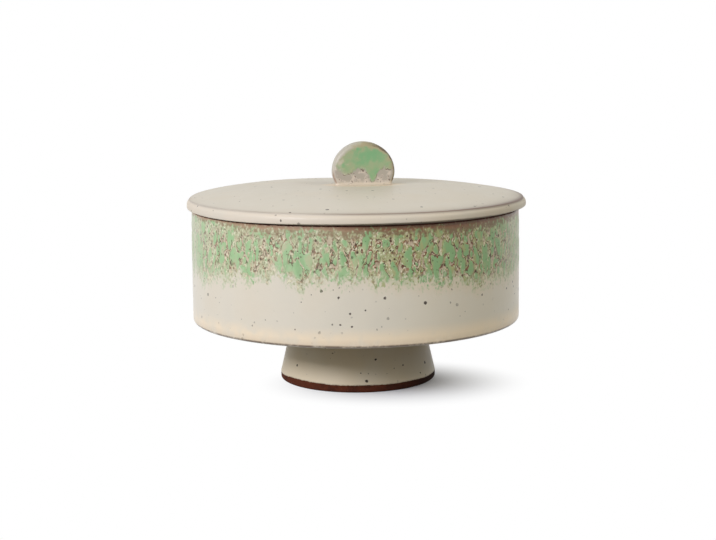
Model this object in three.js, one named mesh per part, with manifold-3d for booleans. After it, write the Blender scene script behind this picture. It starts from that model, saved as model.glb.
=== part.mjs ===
// A lidded candy dish in glazed stoneware: a straight-sided bowl luted to a hollow flared foot, closed by
// a shallow domed lid that carries a locating ring below and a disc-shaped knob on top.
// Millimetres, +Z up. The origin is on the table, under the bowl's axis. The front faces -Y.
import * as THREE from "three";
import { mergeVertices } from "three/addons/utils/BufferGeometryUtils.js";
import Module from "manifold-3d";

// Bowl
const BOWL_DIAMETER = 140.8;
const BOWL_HEIGHT = 47.7; // from the flat underside to the rim
const BOWL_WALL = 4.6;
const BOWL_FLOOR = 5.5;
const BOWL_LIP_DRAW_IN = 0.4; // how far the wall leans in by the time it reaches the rim
const BOWL_LIP_ROUND = 1.4;
const BOWL_HEEL_ROUND = 2.2; // outside corner between wall and underside
const BOWL_INNER_ROUND = 9; // inside corner between wall and floor

// Foot
const FOOT_HEIGHT = 26.5;
const FOOT_BASE_DIAMETER = 67.2;
const FOOT_NECK_DIAMETER = 58.4;
const FOOT_WALL = 6.5;
const FOOT_BARE_BAND = 3; // height of the upright band of bare clay that the dish stands on
const FOOT_TOE_ROUND = 1;
const FOOT_NECK_FILLET = 2.4; // slip smoothed into the corner under the bowl

// Lid plate
const LID_OVERHANG = 2.1; // past the widest part of the bowl
const LID_EDGE_HEIGHT = 4.8; // from the seat on the rim to the crease round the top
const LID_CROWN_RISE = 4.7; // from that crease to the flat crown
const LID_THICKNESS = 5; // at the crown
const LID_SEAT_INSET = 1; // the flat seat ends this far inside the rim's outer edge
const LID_UNDER_RISE = 1.1; // from the seat up to the lower edge, which stands clear of the rim
const LID_UNDER_ROUND = 0.7; // lower edge
const LID_CREASE_ROUND = 0.7; // upper edge

// Locating ring under the lid
const RING_DEPTH = 6;
const RING_WALL = 4;
const RING_PLAY = 1; // gap all round between the ring and the bowl's mouth
const RING_EDGE_ROUND = 1.2;

// Knob
const KNOB_WIDTH = 27;
const KNOB_HEIGHT = 18.4; // above the lid
const KNOB_DISC_HEIGHT = 25.3; // of the whole oval disc that the lid cuts off below
const KNOB_THICKNESS = 8;
const KNOB_EDGE_ROUND = 2;
const KNOB_ROOT_FILLET = 1.6;
const KNOB_OFFSET = 3; // set by hand, a little to the right of the lid's axis
const KNOB_TURN = THREE.MathUtils.degToRad(6);
const KNOB_SEAT_MARGIN = 1.5; // flat crown left showing round the knob's root

// Shape controls and facet counts
const FLARE_STRAIGHTENS_AT = 0.85; // share of the foot's height at which its flare turns upright
const FILLET_SHARE = 0.4; // the most of a wall's thickness that one of its rounds may take
const ROOT_SINK = 0.1; // how far the knob's root reaches inside the disc that it joins
const ROUND_SEGMENTS = 72;
const KNOB_SEGMENTS = 48;
const CORNER_STEPS = 4;
const CURVE_STEPS = 6;

// Heights and radii that the pieces share
const rimHeight = FOOT_HEIGHT + BOWL_HEIGHT;
const creaseHeight = rimHeight + LID_EDGE_HEIGHT;
const crownHeight = creaseHeight + LID_CROWN_RISE;
const bowlRadius = BOWL_DIAMETER / 2;
const lidRadius = bowlRadius + LID_OVERHANG;
const mouthRadius = bowlRadius - BOWL_LIP_DRAW_IN - BOWL_WALL;
const ringRadius = mouthRadius - RING_PLAY;
const knobHalfWidth = KNOB_WIDTH / 2;
const crownFlatRadius = KNOB_OFFSET + knobHalfWidth + KNOB_ROOT_FILLET + KNOB_SEAT_MARGIN;

const QUARTER = Math.PI / 2;

// A limit for a round on a wall, so that a thin wall keeps a flat between its two rounds.
const fitRound = (round, wall) => Math.min(round, FILLET_SHARE * wall);

// Points along an arc in the (radius, height) plane, both ends included.
function arc(radius, height, size, from, to, steps = CORNER_STEPS) {
  return Array.from({ length: steps + 1 }, (_, i) => {
    const angle = from + ((to - from) * i) / steps;
    return new THREE.Vector2(radius + size * Math.cos(angle), height + size * Math.sin(angle));
  });
}

// Points of a shallow dome from its edge to the rim of its flat crown: the fall grows with the square of
// the distance from that flat.
function domeInwards(flatRadius, flatHeight, edgeRadius, edgeHeight) {
  return Array.from({ length: CURVE_STEPS + 1 }, (_, i) => {
    const share = 1 - i / CURVE_STEPS;
    const radius = flatRadius + (edgeRadius - flatRadius) * share;
    return new THREE.Vector2(radius, flatHeight - (flatHeight - edgeHeight) * share ** 2);
  });
}

// A profile in (radius, height), turned about the Z axis.
function turned(profile) {
  return new THREE.LatheGeometry(profile, ROUND_SEGMENTS).rotateX(QUARTER);
}

// The bowl: flat underside, wall that leans in slightly towards the rim, rounded lip, coved floor.
function bowlGeometry() {
  const lip = fitRound(BOWL_LIP_ROUND, BOWL_WALL);
  const floorHeight = FOOT_HEIGHT + BOWL_FLOOR;
  const wallBottom = FOOT_HEIGHT + BOWL_HEEL_ROUND;
  const wallTop = rimHeight - lip;
  const coveTop = floorHeight + BOWL_INNER_ROUND;
  const outerRadius = (height) => {
    const share = Math.max(0, (height - wallBottom) / (wallTop - wallBottom));
    return bowlRadius - BOWL_LIP_DRAW_IN * share ** 2;
  };
  const wall = (from, to, inset) =>
    Array.from({ length: CURVE_STEPS + 1 }, (_, i) => {
      const height = from + ((to - from) * i) / CURVE_STEPS;
      return new THREE.Vector2(outerRadius(height) - inset, height);
    });
  const lipRadius = outerRadius(wallTop);
  const coveRadius = outerRadius(coveTop) - BOWL_WALL - BOWL_INNER_ROUND;
  return turned([
    new THREE.Vector2(0, FOOT_HEIGHT),
    ...arc(bowlRadius - BOWL_HEEL_ROUND, wallBottom, BOWL_HEEL_ROUND, -QUARTER, 0),
    ...wall(wallBottom, wallTop, 0).slice(1),
    ...arc(lipRadius - lip, wallTop, lip, 0, QUARTER).slice(1),
    ...arc(lipRadius - BOWL_WALL + lip, wallTop, lip, QUARTER, 2 * QUARTER),
    ...wall(wallTop, coveTop, BOWL_WALL).slice(1),
    ...arc(coveRadius, coveTop, BOWL_INNER_ROUND, 0, -QUARTER).slice(1),
    new THREE.Vector2(0, floorHeight),
  ]);
}

// The foot: an open ring that flares to an upright band at the table, with a fillet under the bowl.
function footGeometry() {
  const baseRadius = FOOT_BASE_DIAMETER / 2;
  const neckRadius = FOOT_NECK_DIAMETER / 2;
  const neckTop = FOOT_HEIGHT - FOOT_NECK_FILLET;
  const straightensAt = FOOT_BARE_BAND + (neckTop - FOOT_BARE_BAND) * FLARE_STRAIGHTENS_AT;
  const flare = new THREE.QuadraticBezierCurve(
    new THREE.Vector2(baseRadius, FOOT_BARE_BAND),
    new THREE.Vector2(neckRadius, straightensAt),
    new THREE.Vector2(neckRadius, neckTop),
  );
  const toe = fitRound(FOOT_TOE_ROUND, FOOT_WALL);
  const innerStart = new THREE.Vector2(baseRadius - FOOT_WALL + toe, 0);
  return turned([
    innerStart,
    ...arc(baseRadius - toe, toe, toe, -QUARTER, 0),
    ...flare.getPoints(CURVE_STEPS),
    ...arc(neckRadius + FOOT_NECK_FILLET, neckTop, FOOT_NECK_FILLET, 2 * QUARTER, QUARTER).slice(1),
    new THREE.Vector2(neckRadius - FOOT_WALL, FOOT_HEIGHT),
    ...arc(baseRadius - FOOT_WALL + toe, toe, toe, 2 * QUARTER, 3 * QUARTER).slice(0, -1),
    innerStart.clone(),
  ]);
}

// The lid plate: a flat crown that falls in a gentle curve to a crease, an edge that is undercut outside
// the rim, a flat seat for the rim and the ring, and an underside hollowed to match the dome.
function lidPlateGeometry() {
  const crease = fitRound(LID_CREASE_ROUND, LID_EDGE_HEIGHT);
  const under = Math.min(LID_UNDER_ROUND, LID_EDGE_HEIGHT - LID_UNDER_RISE - 2 * crease);
  const underHeight = rimHeight + LID_UNDER_RISE + under;
  const seatOuter = mouthRadius + BOWL_WALL - LID_SEAT_INSET;
  const fallAngle = Math.atan((2 * LID_CROWN_RISE) / (lidRadius - crownFlatRadius));
  const creaseArc = arc(lidRadius - crease, creaseHeight - crease, crease, 0, QUARTER - fallAngle);
  const topEdge = creaseArc.at(-1);
  const seatInner = ringRadius - RING_WALL - RING_EDGE_ROUND;
  const ceiling = crownHeight - LID_THICKNESS;
  const hollow = domeInwards(crownFlatRadius, ceiling, seatInner, rimHeight).reverse();
  return turned([
    new THREE.Vector2(0, ceiling),
    ...hollow,
    new THREE.Vector2(seatOuter, rimHeight),
    ...arc(lidRadius - under, underHeight, under, -QUARTER, 0),
    ...creaseArc,
    ...domeInwards(crownFlatRadius, crownHeight, topEdge.x, topEdge.y).slice(1),
    new THREE.Vector2(0, crownHeight),
  ]);
}

// The locating ring: luted flat to the lid's seat, rounded where it drops into the bowl's mouth.
function locatingRingGeometry() {
  const round = fitRound(RING_EDGE_ROUND, RING_WALL);
  const bottom = rimHeight - RING_DEPTH;
  const innerRadius = ringRadius - RING_WALL;
  const innerTop = new THREE.Vector2(innerRadius, rimHeight);
  return turned([
    innerTop,
    ...arc(innerRadius + round, bottom + round, round, 2 * QUARTER, 3 * QUARTER),
    ...arc(ringRadius - round, bottom + round, round, -QUARTER, 0),
    new THREE.Vector2(ringRadius, rimHeight),
    innerTop.clone(),
  ]);
}

const wasm = await Module();
wasm.setup();

// A closed geometry as a solid that can be cut and joined.
function solidOf(geometry) {
  geometry.deleteAttribute("normal");
  geometry.deleteAttribute("uv");
  const merged = mergeVertices(geometry);
  return new wasm.Manifold(
    new wasm.Mesh({
      numProp: 3,
      vertProperties: merged.attributes.position.array,
      triVerts: new Uint32Array(merged.index.array),
    }),
  );
}

// A solid back as a geometry.
function geometryOf(solid) {
  const { numProp, numVert, vertProperties, triVerts } = solid.getMesh();
  const places = new Float32Array(numVert * 3);
  for (let i = 0; i < numVert; i++) {
    places.set(vertProperties.subarray(i * numProp, i * numProp + 3), i * 3);
  }
  const geometry = new THREE.BufferGeometry();
  geometry.setAttribute("position", new THREE.BufferAttribute(places, 3));
  geometry.setIndex(new THREE.BufferAttribute(triVerts, 1));
  geometry.computeVertexNormals();
  return geometry;
}

// The outline of a rectangle with rounded corners, anticlockwise.
function roundedRectangle(halfLength, halfWidth, round) {
  const x = halfLength - round;
  const y = halfWidth - round;
  return [
    ...arc(x, -y, round, -QUARTER, 0),
    ...arc(x, y, round, 0, QUARTER),
    ...arc(-x, y, round, QUARTER, 2 * QUARTER),
    ...arc(-x, -y, round, 2 * QUARTER, 3 * QUARTER),
  ];
}

// A closed skin through level outlines of equal point count, listed from the bottom up.
function loft(levels) {
  const count = levels[0].outline.length;
  const places = levels.flatMap(({ outline, height }) => outline.flatMap((p) => [p.x, p.y, height]));
  const bottomCentre = levels.length * count;
  const topCentre = bottomCentre + 1;
  places.push(0, 0, levels[0].height, 0, 0, levels.at(-1).height);
  const faces = [];
  for (let i = 0; i < count; i++) {
    const next = (i + 1) % count;
    faces.push(bottomCentre, next, i);
    for (let level = 0; level < levels.length - 1; level++) {
      const low = level * count;
      const high = low + count;
      faces.push(low + i, low + next, high + next, low + i, high + next, high + i);
    }
    const top = (levels.length - 1) * count;
    faces.push(topCentre, top + i, top + next);
  }
  const geometry = new THREE.BufferGeometry();
  geometry.setAttribute("position", new THREE.Float32BufferAttribute(places, 3));
  geometry.setIndex(faces);
  return geometry;
}

// The knob: an upright oval disc with a rounded rim, cut flat where it meets the lid, and joined to a root
// whose concave fillet is the clay smoothed down round it.
function knobGeometry() {
  const halfThickness = KNOB_THICKNESS / 2;
  const halfHeight = KNOB_DISC_HEIGHT / 2;
  const centreHeight = KNOB_HEIGHT - halfHeight;
  const edge = fitRound(KNOB_EDGE_ROUND, KNOB_THICKNESS);
  const disc = new THREE.LatheGeometry(
    [
      new THREE.Vector2(0, -halfThickness),
      ...arc(knobHalfWidth - edge, edge - halfThickness, edge, -QUARTER, 0),
      ...arc(knobHalfWidth - edge, halfThickness - edge, edge, 0, QUARTER),
      new THREE.Vector2(0, halfThickness),
    ],
    KNOB_SEGMENTS,
  )
    .scale(1, 1, KNOB_DISC_HEIGHT / KNOB_WIDTH)
    .translate(0, 0, centreHeight);

  const below = new THREE.BoxGeometry(2 * KNOB_WIDTH, 2 * KNOB_THICKNESS, 2 * KNOB_DISC_HEIGHT);
  below.translate(0, 0, -KNOB_DISC_HEIGHT);

  const chordHalf = knobHalfWidth * Math.sqrt(1 - (centreHeight / halfHeight) ** 2);
  const levels = Array.from({ length: CORNER_STEPS + 1 }, (_, i) => {
    const angle = (QUARTER * i) / CORNER_STEPS;
    const spread = KNOB_ROOT_FILLET * (1 - Math.sin(angle)) - ROOT_SINK;
    return {
      height: KNOB_ROOT_FILLET * (1 - Math.cos(angle)),
      outline: roundedRectangle(chordHalf + spread, halfThickness + spread, edge + spread),
    };
  });
  return geometryOf(solidOf(disc).subtract(solidOf(below)).add(solidOf(loft(levels))));
}

// Finishes
const creamGlaze = { color: 0xd9d1c3, roughness: 0.45, metalness: 0 };
const greenGlaze = { color: 0x93c49a, roughness: 0.4, metalness: 0 };
const bareStoneware = { color: 0x7d4a31, roughness: 0.85, metalness: 0 };

function piece(name, geometry, finish) {
  const mesh = new THREE.Mesh(geometry, new THREE.MeshStandardMaterial(finish));
  mesh.name = name;
  return mesh;
}

const knob = piece("knob", knobGeometry(), greenGlaze);
knob.position.set(KNOB_OFFSET, 0, crownHeight);
knob.rotation.z = KNOB_TURN;

const lid = new THREE.Group();
lid.add(piece("lid_plate", lidPlateGeometry(), creamGlaze));
lid.add(piece("lid_locating_ring", locatingRingGeometry(), bareStoneware));
lid.add(knob);

const candyDish = new THREE.Group();
candyDish.add(piece("bowl", bowlGeometry(), creamGlaze));
candyDish.add(piece("foot", footGeometry(), creamGlaze));
candyDish.add(lid);

export default candyDish;
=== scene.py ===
# %% [markdown]
# # A lidded candy dish in reactive-glazed stoneware
# The dish has five clay pieces: a bowl, the foot that it stands on, a lid plate, the ring under the lid
# that keeps it in place, and a knob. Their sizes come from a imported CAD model, which is loaded first and
# never moved. Each piece is then made again here as a finer surface with its glaze, and takes the place of
# the CAD piece.

# %% Load the frame
from types import SimpleNamespace

import bpy
import numpy as np
from mathutils import Matrix, Vector


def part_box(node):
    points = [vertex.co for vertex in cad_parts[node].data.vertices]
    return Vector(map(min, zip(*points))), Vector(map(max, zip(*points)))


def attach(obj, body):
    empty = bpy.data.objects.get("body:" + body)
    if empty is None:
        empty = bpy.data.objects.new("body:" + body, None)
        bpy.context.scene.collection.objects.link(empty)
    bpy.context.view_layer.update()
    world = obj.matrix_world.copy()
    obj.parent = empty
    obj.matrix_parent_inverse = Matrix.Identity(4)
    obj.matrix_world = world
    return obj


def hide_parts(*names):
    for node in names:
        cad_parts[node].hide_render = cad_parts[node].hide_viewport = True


MM = 0.001
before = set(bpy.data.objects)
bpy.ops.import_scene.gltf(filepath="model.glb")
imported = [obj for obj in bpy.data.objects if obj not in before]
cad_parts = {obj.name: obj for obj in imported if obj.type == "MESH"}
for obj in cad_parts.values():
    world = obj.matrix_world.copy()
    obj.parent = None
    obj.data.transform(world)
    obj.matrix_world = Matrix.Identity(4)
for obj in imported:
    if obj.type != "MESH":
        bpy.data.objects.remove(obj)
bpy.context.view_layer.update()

# %% [markdown]
# ## The sizes that the pieces share
# Heights and outer radii are read from the boxes of the CAD pieces, so that the surfaces made here land
# where the CAD pieces are. A box doesn't tell how thick a wall is, so walls and rounded corners are written
# down as values. Everything is in millimetres until a mesh is made.

# %% Heights and radii


def radius_of(node):
    """Half the width of a CAD piece's box, in millimetres."""
    low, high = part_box(node)
    return (high.x - low.x) / 2 / MM


def heights_of(node):
    """Lowest and highest point of a CAD piece, in millimetres."""
    low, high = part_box(node)
    return low.z / MM, high.z / MM


bowl_radius = radius_of("bowl")
bowl_base, rim_height = heights_of("bowl")
foot_radius = radius_of("foot")
lid_radius = radius_of("lid_plate")
crown_height = heights_of("lid_plate")[1]
ring_radius = radius_of("lid_locating_ring")
ring_bottom = heights_of("lid_locating_ring")[0]
knob_height = heights_of("knob")[1] - crown_height
print(f"bowl {2 * bowl_radius:.1f} mm wide, rim at {rim_height:.1f} mm")
print(f"crown at {crown_height:.1f} mm, knob {knob_height:.1f} mm high")

# %% [markdown]
# ## Surfaces from profiles
# Pots are turned, so most pieces here are a profile carried round an axis. A profile is an array of
# (radius, height) points made of straight runs and arcs. Carrying it round gives a grid of points, and one
# function turns any grid into a mesh. The Screw modifier would do the first step too, but a grid in numpy
# can be pushed in and out afterwards for drips, thin spots and the small wobble of hand work.

# %% Profiles
SAME_POINT = 1e-6


def straight(start, end, steps):
    """Points evenly spaced on a line in the (radius, height) plane, both ends included."""
    return np.linspace(start, end, steps + 1)


def arc(centre, size, start, end, steps):
    """Points on a circle about a centre, between two angles in degrees: centre + size (cos, sin)."""
    angle = np.radians(np.linspace(start, end, steps + 1))
    return np.asarray(centre) + size * np.column_stack((np.cos(angle), np.sin(angle)))


def chain(*runs):
    """Runs of points joined end to end. A point that two runs share is kept once."""
    points = np.concatenate(runs)
    apart = np.linalg.norm(np.diff(points, axis=0), axis=1) > SAME_POINT
    return points[np.concatenate(([True], apart))]


def turned(profile, segments):
    """A profile carried round Z: x = r cos a, y = r sin a, z = h. Returns the grid and its angles."""
    angle = np.linspace(0, 2 * np.pi, segments, endpoint=False)
    radius, height = profile[:, :1], profile[:, 1:]
    grid = np.stack((radius * np.cos(angle), radius * np.sin(angle), height + 0 * angle), axis=-1)
    return grid, angle


# %% From grid to faces


def quads_between(rows, columns, joined):
    """Corner numbers of a grid's faces. It wraps round its columns, and round its rows too if joined."""
    row = np.arange(rows if joined else rows - 1)[:, None] * columns
    next_row = (row + columns) % (rows * columns)
    column = np.arange(columns)
    beside = (column + 1) % columns
    corners = (row + column, row + beside, next_row + beside, next_row + column)
    return np.stack(corners, axis=-1).reshape(-1, 4)


def fan(pole, circle):
    """Triangles from one point to each edge of a closed circle of points."""
    return np.stack((np.full_like(circle, pole), np.roll(circle, -1), circle), axis=-1)


def closed_faces(rows, columns, joined):
    """Faces over a grid. Unless joined, the first and last row are single points with a fan round each."""
    if joined:
        return quads_between(rows, columns, True).tolist()
    first_circle = np.arange(columns) + 1
    last_circle = first_circle + (rows - 3) * columns
    last_pole = (rows - 2) * columns + 1
    quads = quads_between(rows - 2, columns, False) + 1
    return fan(0, first_circle).tolist() + quads.tolist() + fan(last_pole, last_circle[::-1]).tolist()


# %% From faces to a mesh
SHARP_CORNER = 75


def listed(values, joined):
    """A grid's values as one list. Unless it is joined, the first and last row become their mean."""
    if joined:
        return values.reshape(-1, values.shape[-1])
    inner = values[1:-1].reshape(-1, values.shape[-1])
    return np.concatenate((values[:1].mean(1), inner, values[-1:].mean(1)))


def skin(name, grid, fields, joined=False):
    """A smooth mesh object over a grid in millimetres, with named values at its points.

    A joined grid closes on itself, as a ring does. Otherwise the first and the last row lie on the axis.
    """
    rows, columns = grid.shape[:2]
    faces = closed_faces(rows, columns, joined)
    mesh = bpy.data.meshes.new(name)
    mesh.from_pydata(listed(grid, joined) * MM, [], faces)
    mesh.shade_smooth()
    for label, values in fields.items():
        full = np.broadcast_to(values, (rows, columns))[..., None]
        numbers = listed(full, joined).astype(np.float32).ravel()
        mesh.attributes.new(label, "FLOAT", "POINT").data.foreach_set("value", numbers)
    piece = bpy.data.objects.new(name, mesh)
    bpy.context.scene.collection.objects.link(piece)
    mesh.validate()
    mesh.set_sharp_from_angle(angle=np.radians(SHARP_CORNER))
    print(f"{name}: {len(mesh.vertices)} points, {sum(len(face) - 2 for face in faces)} triangles")
    return piece


# %% [markdown]
# ## Noise that wraps round
# Glaze runs are uneven in a smooth way. White noise blurred by a bell curve has that look, and the bell's
# width and height set the size of the blobs. Blender's noise textures live in materials only, and here
# noise also moves points, so it is made in numpy. The blur is done in the frequency plane, where it is one
# product and wraps round the pot without a seam. A fixed seed makes every run the same.

# %% Blurred noise
rng = np.random.default_rng(41)


def blurred_noise(rows, columns, row_step, column_step, tall, wide):
    """White noise times a bell in the frequency plane, with mean 0 and spread 1. Sizes in millimetres."""
    white = rng.standard_normal((2 * rows, columns))
    down = np.fft.fftfreq(2 * rows, row_step)[:, None]
    across = np.fft.rfftfreq(columns, column_step)
    falloff = np.exp(-2 * np.pi**2 * ((down * tall) ** 2 + (across * wide) ** 2))
    smooth = np.fft.irfft2(np.fft.rfft2(white) * falloff, s=white.shape)[:rows]
    return (smooth - smooth.mean()) / smooth.std()


def wave_round(angle, wide, radius):
    """Blurred noise along a circle only: one value for each angle, with bumps of a given half width."""
    return blurred_noise(1, len(angle), 1.0, 2 * np.pi * radius / len(angle), 0.0, wide)[0]


# %% Steps and bells


def smooth_step(low, high, value):
    """0 below low, 1 above high and an S curve between. Low may be the larger one, which turns it round."""
    share = np.clip((value - low) / (high - low), 0, 1)
    return share * share * (3 - 2 * share)


def bell(value, centre, width):
    """1 at the centre, falling off as a bell curve."""
    return np.exp(-(((value - centre) / width) ** 2))


def bumps(value, marks):
    """A sum of bell curves. Each mark is a bell's middle, its half width and its height."""
    return sum(height * bell(value, middle, width) for middle, width, height in marks)


# %% [markdown]
# ## The bowl
# The wall is nearly a true cylinder that leans in by less than half a millimetre towards the rim, with a
# small round at the heel, a lip that is sharper outside than inside, and a coved floor. A cylinder with a
# bevel would come close, but its rows would be evenly spaced. In a profile, the rows lie close together
# where the mottled band is, so that its islands can stand out of the wall as real relief, and far apart
# elsewhere.

# %% The bowl's profile
BOWL_SEGMENTS = 840
BOWL_WALL = 4.6
BOWL_FLOOR = 5.5
BOWL_DRAW_IN = 0.4
LIP_ROUND = 1.4
LIP_OUTER = 0.5
HEEL_ROUND = 1.4
COVE_ROUND = 9.0
BAND_DEPTH = 28.0
BAND_ROWS = 64

heel_top = bowl_base + HEEL_ROUND
lip_start = rim_height - LIP_ROUND
band_bottom = rim_height - BAND_DEPTH
floor_height = bowl_base + BOWL_FLOOR


def wall_radius(height):
    """The wall's outer radius: it leans in with the square of the height above the heel."""
    share = np.clip((height - heel_top) / (lip_start - heel_top), 0, 1)
    return bowl_radius - BOWL_DRAW_IN * share**2


def wall_run(start, end, inset, steps):
    """Points up or down the wall, set in from its outer face."""
    height = np.linspace(start, end, steps + 1)
    return np.column_stack((wall_radius(height) - inset, height))


lip_radius = wall_radius(lip_start)
cove_top = floor_height + COVE_ROUND
cove_radius = wall_radius(cove_top) - BOWL_WALL - COVE_ROUND
bowl_profile = chain(
    straight((0, bowl_base), (bowl_radius - HEEL_ROUND, bowl_base), 6),
    arc((bowl_radius - HEEL_ROUND, heel_top), HEEL_ROUND, -90, 0, 8),
    wall_run(heel_top, band_bottom, 0, 8),
    wall_run(band_bottom, lip_start, 0, BAND_ROWS),
    arc((lip_radius - LIP_OUTER, rim_height - LIP_OUTER), LIP_OUTER, 0, 90, 6),
    arc((lip_radius - BOWL_WALL + LIP_ROUND, lip_start), LIP_ROUND, 90, 180, 6),
    wall_run(lip_start, cove_top, BOWL_WALL, 6),
    arc((cove_radius, cove_top), COVE_ROUND, 0, -90, 7),
    straight((cove_radius, floor_height), (0, floor_height), 5),
)
bowl_grid, bowl_angle = turned(bowl_profile, BOWL_SEGMENTS)
print("bowl profile:", len(bowl_profile), "rows")

# %% [markdown]
# ## The mottled band
# A reactive glaze is poured over the rim and runs down in the kiln. It pools into soft green islands, opens
# to beige and pink pits along thin veins, leaves brown iron beside them, and ends in ragged drips. A
# painted image could hold such a pattern, but fields at the mesh's points need no image and can push the
# surface out and in as well. They tell where islands and veins are, how far a point is from the lower
# border and from the rim, and which stretches of the wall are paler or richer in iron. The material mixes
# the colours from them, with crisper edges than the grid could draw.

# %% Noise and stretches round the wall
# A stretch is its middle and its half width in degrees (180 left, 270 front, 360 right), and its amount.
PALE_STRETCHES = ((190, 15, 0.85), (345, 15, 0.7), (253, 13, 0.12))
IRON_STRETCHES = ((310, 52, 1.0),)
WASH_STRETCHES = ((200, 25, -1.8), (303, 22, 1.4))
LOW_STRETCHES = ((211, 11, 2.6), (286, 11, 1.1), (318, 12, 2.2))
# Noise over the wall has blobs of a height and a width in millimetres, a wave round it only a width.
LARGE_BLOBS = (2.0, 1.3)
SMALL_BLOBS = (0.9, 0.7)
VEINS = (1.9, 0.82)
THIN_DRIPS = 0.9
BROAD_DRIPS = 3.0
IRON_WAVE = 14.0
WASH_WAVE = 4.0
WASH_DEPTH = 2.6
WASH_LIMITS = (1.0, 6.0)
BORDER_DEPTH = 20.9
BORDER_LOWER_AT_SIDES = 3.4

row_step = BAND_DEPTH / BAND_ROWS
column_step = 2 * np.pi * bowl_radius / BOWL_SEGMENTS


def bowl_noise(tall, wide):
    """Blurred noise over every row of the bowl's grid, at the spacing of the band's rows."""
    return blurred_noise(len(bowl_profile), BOWL_SEGMENTS, row_step, column_step, tall, wide)


def wall_wave(wide):
    """Noise round the bowl's wall, with bumps of a given half width."""
    return wave_round(bowl_angle, wide, bowl_radius)


blobs = 0.75 * bowl_noise(*LARGE_BLOBS) + 0.5 * bowl_noise(*SMALL_BLOBS)
veins = bowl_noise(*VEINS)
drips = 0.9 * wall_wave(THIN_DRIPS) + 0.7 * wall_wave(BROAD_DRIPS)
wall_degrees = np.degrees(bowl_angle)
pale = bumps(wall_degrees, PALE_STRETCHES)
rich = np.clip(bumps(wall_degrees, IRON_STRETCHES) + 0.2 * wall_wave(IRON_WAVE), 0, 1)
wash_depth = WASH_DEPTH + 0.4 * wall_wave(WASH_WAVE) + bumps(wall_degrees, WASH_STRETCHES)
wash_depth = np.clip(wash_depth, *WASH_LIMITS)
border_depth = BORDER_DEPTH + BORDER_LOWER_AT_SIDES * np.cos(bowl_angle) ** 2
border_depth = border_depth + bumps(wall_degrees, LOW_STRETCHES) + drips
print(f"band reaches {border_depth.min():.1f} to {border_depth.max():.1f} mm below the rim")

# %% Fields of the band
# Millimetres below the rim or the border, between which an effect begins and is full.
RIM_ZONE = (5.5, 2.5)
BORDER_ZONE = (-4.5, 0.5)
RELIEF_STARTS = (1.0, 4.0)
RELIEF_ENDS = (1.5, -1.5)
FAR_BELOW = 40.0
FEWER_AT_RIM = 0.7
FEWER_AT_BORDER = 0.6
FEWER_WHERE_PALE = 0.7
HEEL_LINE_UP = 0.7
HEEL_LINE_HALF = 0.5

row_radius = bowl_profile[:, 0]
row_height = bowl_profile[:, 1]
lip_middle = lip_radius - BOWL_WALL / 2
outside = ((row_radius > lip_middle) & (row_height > bowl_base + SAME_POINT))[:, None]
below_rim = (rim_height - row_height)[:, None]
border = np.where(outside, below_rim - border_depth, FAR_BELOW)
in_band = outside * smooth_step(*RELIEF_ENDS, border) * smooth_step(*RELIEF_STARTS, below_rim)
islands = blobs - FEWER_AT_RIM * smooth_step(*RIM_ZONE, below_rim)
islands = islands - FEWER_AT_BORDER * smooth_step(*BORDER_ZONE, border) - FEWER_WHERE_PALE * pale
heel_line = bell(row_height, bowl_base + HEEL_LINE_UP, HEEL_LINE_HALF)
heel_line = heel_line * (row_radius > bowl_radius - HEEL_ROUND)
print(f"{np.mean(in_band > 0.5):.0%} of the bowl's points lie in the band")

# %% Relief of the band, and the bowl
ISLAND_RELIEF = 0.08
VEIN_RELIEF = 0.06
# An island lies away from the veins and on a blob, with these weights.
AWAY_WEIGHT = 0.8
BLOB_WEIGHT = 0.5

island_level = AWAY_WEIGHT * np.abs(veins) + BLOB_WEIGHT * islands
island_push = ISLAND_RELIEF * smooth_step(0.45, 0.85, island_level)
vein_pull = VEIN_RELIEF * smooth_step(0.5, 0.2, np.abs(veins))
relief = in_band * (island_push - vein_pull)
outward = np.stack((np.cos(bowl_angle), np.sin(bowl_angle), 0 * bowl_angle), axis=-1)
bowl_grid += relief[..., None] * outward
bowl = skin(
    "bowl_with_mottled_band",
    bowl_grid,
    {
        "islands": islands,
        "veins": veins,
        "border": border,
        "below_rim": below_rim,
        "wash": below_rim / wash_depth,
        "pale": pale,
        "rich": rich,
        "thin_edge": heel_line[:, None],
    },
)
print(f"relief from {relief.min():.2f} to {relief.max():.2f} mm")

# %% [markdown]
# ## The foot
# The foot is an open ring, luted under the bowl. Outside it flares from a filleted neck to an upright band
# of bare clay. It could be a bevelled tube, but the flare is one long curve, which three control points
# give best. The profile closes on itself, so the grid is joined both ways, like a torus. A field holds the
# height of each point over the wavy line where the glaze was wiped off.

# %% The foot
FOOT_SEGMENTS = 480
FOOT_WALL = 6.5
FOOT_NECK_RADIUS = 29.2
FOOT_BARE_BAND = 3.0
FOOT_TOE_ROUND = 1.0
FOOT_NECK_FILLET = 2.4
FLARE_STRAIGHTENS_AT = 0.85
FOOT_SHIFT = np.array((0.6, 0.0, 0.0))
WIPED_LINE_WAVE = 0.25
WIPED_WAVE_WIDTH = 7.0

neck_top = bowl_base - FOOT_NECK_FILLET


def flare_run(steps):
    """The flare: a curve with three control points, p (1-t)^2 + 2 q t (1-t) + r t^2."""
    t = np.linspace(0, 1, steps + 1)[:, None]
    turn_height = FOOT_BARE_BAND + (neck_top - FOOT_BARE_BAND) * FLARE_STRAIGHTENS_AT
    low = np.array((foot_radius, FOOT_BARE_BAND))
    middle = np.array((FOOT_NECK_RADIUS, turn_height))
    high = np.array((FOOT_NECK_RADIUS, neck_top))
    return low * (1 - t) ** 2 + 2 * middle * t * (1 - t) + high * t**2


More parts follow.
